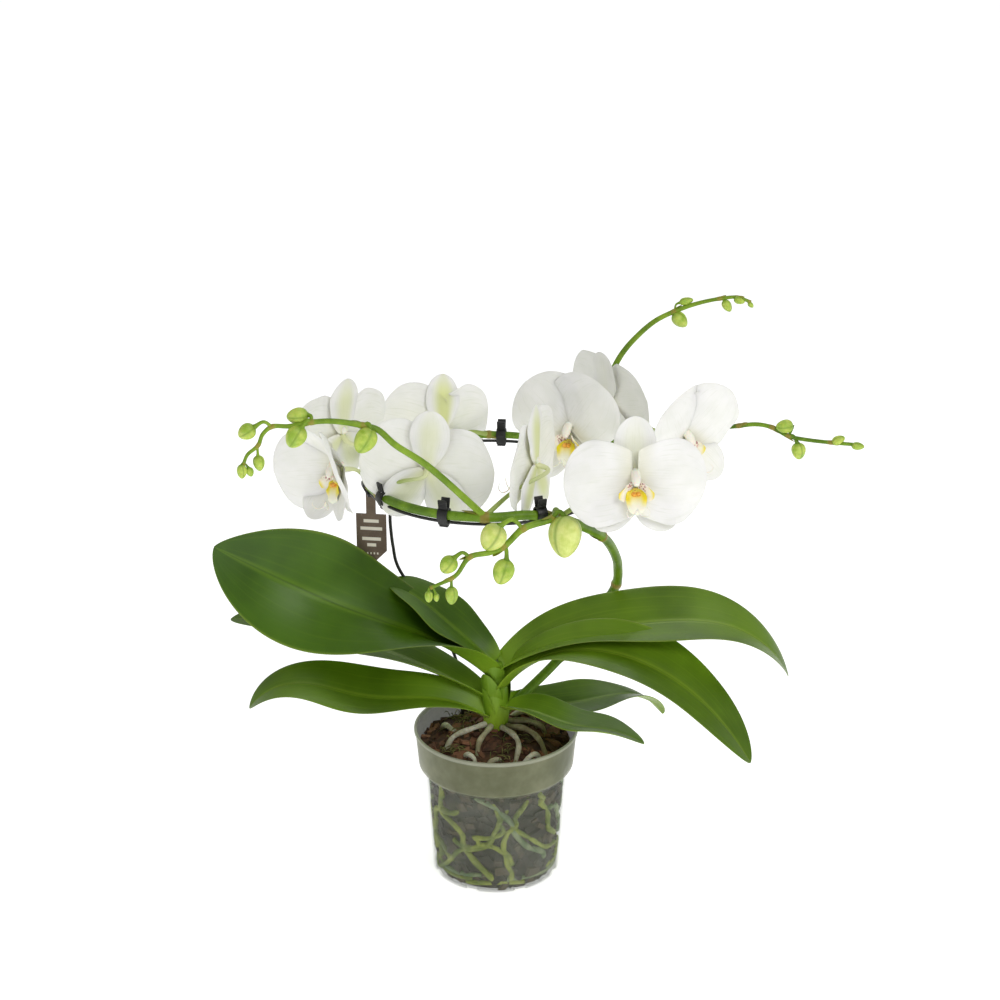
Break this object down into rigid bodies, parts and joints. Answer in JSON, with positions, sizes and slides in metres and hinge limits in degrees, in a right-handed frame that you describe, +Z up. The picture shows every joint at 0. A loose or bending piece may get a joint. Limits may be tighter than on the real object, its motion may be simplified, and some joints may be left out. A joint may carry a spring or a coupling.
{
  "type": "potted orchid",
  "caption": "Moth orchid in a clear nursery pot, its flower stem trained round a wire hoop, with white flowers and green buds.",
  "frame": {"origin": "centre of the pot's flat underside", "axes": "+Z up through the pot's rim, +X to the right of the flowers' show side, -Y towards the viewer of that side"},
  "size_m": [0.454, 0.2184, 0.4264],
  "materials": {
    "pot_plastic": "satin",
    "potting_mix": "matte",
    "root": "matte",
    "crown": "satin",
    "leaf": "satin",
    "stem": "satin",
    "shoot": "satin",
    "petal": "satin",
    "lip": "satin",
    "wire": "satin",
    "clip": "satin",
    "tag_card": "matte"
  },
  "bodies": {
    "root": {"pot": "pot_plastic", "crown": "crown", "flower_stem": "stem", "support_hoop": "wire", "root_left": "root", "root_front_left": "root", "root_front": "root", "root_front_right": "root", "root_right": "root", "potting_mix": "potting_mix", "leaf_left_large": "leaf", "leaf_centre_young": "leaf", "leaf_right_large": "leaf", "leaf_right_second": "leaf", "leaf_left_back": "leaf", "leaf_right_low_front": "leaf", "leaf_right_low_back": "leaf", "leaf_left_low": "leaf", "bud_shoot_left": "shoot", "bud_shoot_front": "shoot", "bud_shoot_top": "shoot", "stem_clip_front": "clip", "stem_clip_right": "clip", "stem_clip_left": "clip", "stem_clip_side": "clip", "stem_clip_back": "clip", "hang_tag": "tag_card", "flower_1": "petal", "flower_2": "petal", "flower_3": "petal", "flower_4": "petal", "flower_5": "petal", "flower_6": "petal", "flower_7": "petal", "flower_8": "petal", "flower_9": "petal", "flower_1_lip": "lip", "flower_2_lip": "lip", "flower_3_lip": "lip", "flower_4_lip": "lip", "flower_5_lip": "lip", "flower_6_lip": "lip", "flower_7_lip": "lip", "flower_8_lip": "lip", "flower_9_lip": "lip"}
  },
  "joints": []
}
